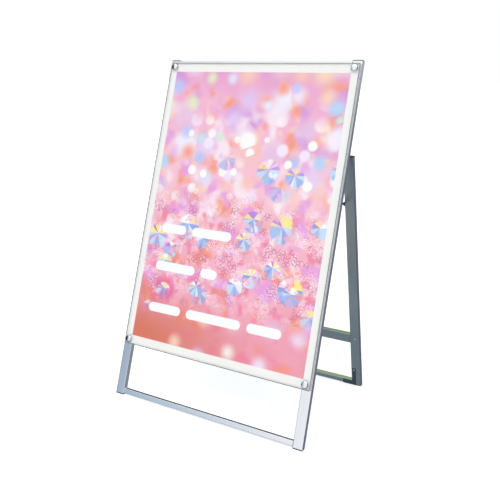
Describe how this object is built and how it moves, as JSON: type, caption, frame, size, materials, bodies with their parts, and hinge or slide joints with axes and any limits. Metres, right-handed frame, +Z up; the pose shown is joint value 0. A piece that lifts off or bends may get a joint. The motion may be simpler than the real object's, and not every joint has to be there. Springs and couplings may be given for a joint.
{
  "type": "sandwich board",
  "caption": "A-frame poster stand: tubular front frame with a clear-fronted poster panel, hinged rear frame that folds flat, hooked stay bars.",
  "frame": {"origin": "on the floor, at the middle of the open stand's footprint", "axes": "+Z up, +X across the stand, the poster faces -Y, the rear frame stands on the +Y side"},
  "size_m": [0.65, 0.4316, 1.0097],
  "materials": {
    "front_tube": "satin clear anodised",
    "rear_tube": "satin grey anodised",
    "end_plug": "moulded grey",
    "bumper": "moulded black",
    "backing": "white, smooth",
    "poster": "printed, satin",
    "acrylic": "clear, polished",
    "cover": "mirror",
    "zinc": "zinc plated",
    "stay": "black, satin",
    "rivet": "bright",
    "joint": "as cast"
  },
  "bodies": {
    "front_frame": {"acrylic_sheet": "acrylic", "backing_board": "backing", "bumper_left": "bumper", "bumper_right": "bumper", "chrome_cover_bottom_left": "cover", "chrome_cover_bottom_right": "cover", "chrome_cover_top_left": "cover", "chrome_cover_top_right": "cover", "fixing_screw_bottom_left": "zinc", "fixing_screw_bottom_right": "zinc", "fixing_screw_top_left": "zinc", "fixing_screw_top_right": "zinc", "front_bottom_rail": "front_tube", "front_cap_left": "end_plug", "front_cap_right": "end_plug", "front_foot_left": "end_plug", "front_foot_right": "end_plug", "front_middle_joint_left": "joint", "front_middle_joint_right": "joint", "front_middle_rail": "front_tube", "front_stile_left": "front_tube", "front_stile_right": "front_tube", "front_top_joint_left": "joint", "front_top_joint_right": "joint", "front_top_rail": "front_tube", "hinge_bolt_left": "zinc", "hinge_bolt_right": "zinc", "poster": "poster", "stay_pin_left": "zinc", "stay_pin_right": "zinc"},
    "rear_frame": {"arm_rivet_lower_left": "rivet", "arm_rivet_lower_right": "rivet", "arm_rivet_upper_left": "rivet", "arm_rivet_upper_right": "rivet", "corner_plate_left": "rear_tube", "corner_plate_right": "rear_tube", "corner_rivet_left": "rivet", "corner_rivet_right": "rivet", "hinge_arm_left": "zinc", "hinge_arm_right": "zinc", "rail_screw_left": "rivet", "rail_screw_right": "rivet", "rear_bottom_rail": "rear_tube", "rear_cap_left": "end_plug", "rear_cap_right": "end_plug", "rear_foot_left": "end_plug", "rear_foot_right": "end_plug", "rear_leg_left": "rear_tube", "rear_leg_right": "rear_tube", "rear_middle_joint_left": "joint", "rear_middle_joint_right": "joint", "rear_middle_rail": "rear_tube", "rear_top_joint_left": "joint", "rear_top_joint_right": "joint", "rear_top_rail": "rear_tube", "stay_stud_left": "zinc", "stay_stud_right": "zinc"},
    "stay_left": {"stay_bar_left": "stay"},
    "stay_right": {"stay_bar_right": "stay"}
  },
  "joints": [
    {"name": "fold", "type": "hinge", "parent": "front_frame", "child": "rear_frame", "pos_m": [0, 0.05739, 0.78378], "axis": [-1, 0, 0], "range_deg": [0, 28.3]},
    {"name": "stay_lift_left", "type": "hinge", "parent": "front_frame", "child": "stay_left", "pos_m": [-0.29385, -0.0016, 0.60949], "axis": [1, 0, 0], "range_deg": [0, 72.5]},
    {"name": "stay_lift_right", "type": "hinge", "parent": "front_frame", "child": "stay_right", "pos_m": [0.29385, -0.0016, 0.60949], "axis": [1, 0, 0], "range_deg": [0, 72.5]}
  ]
}
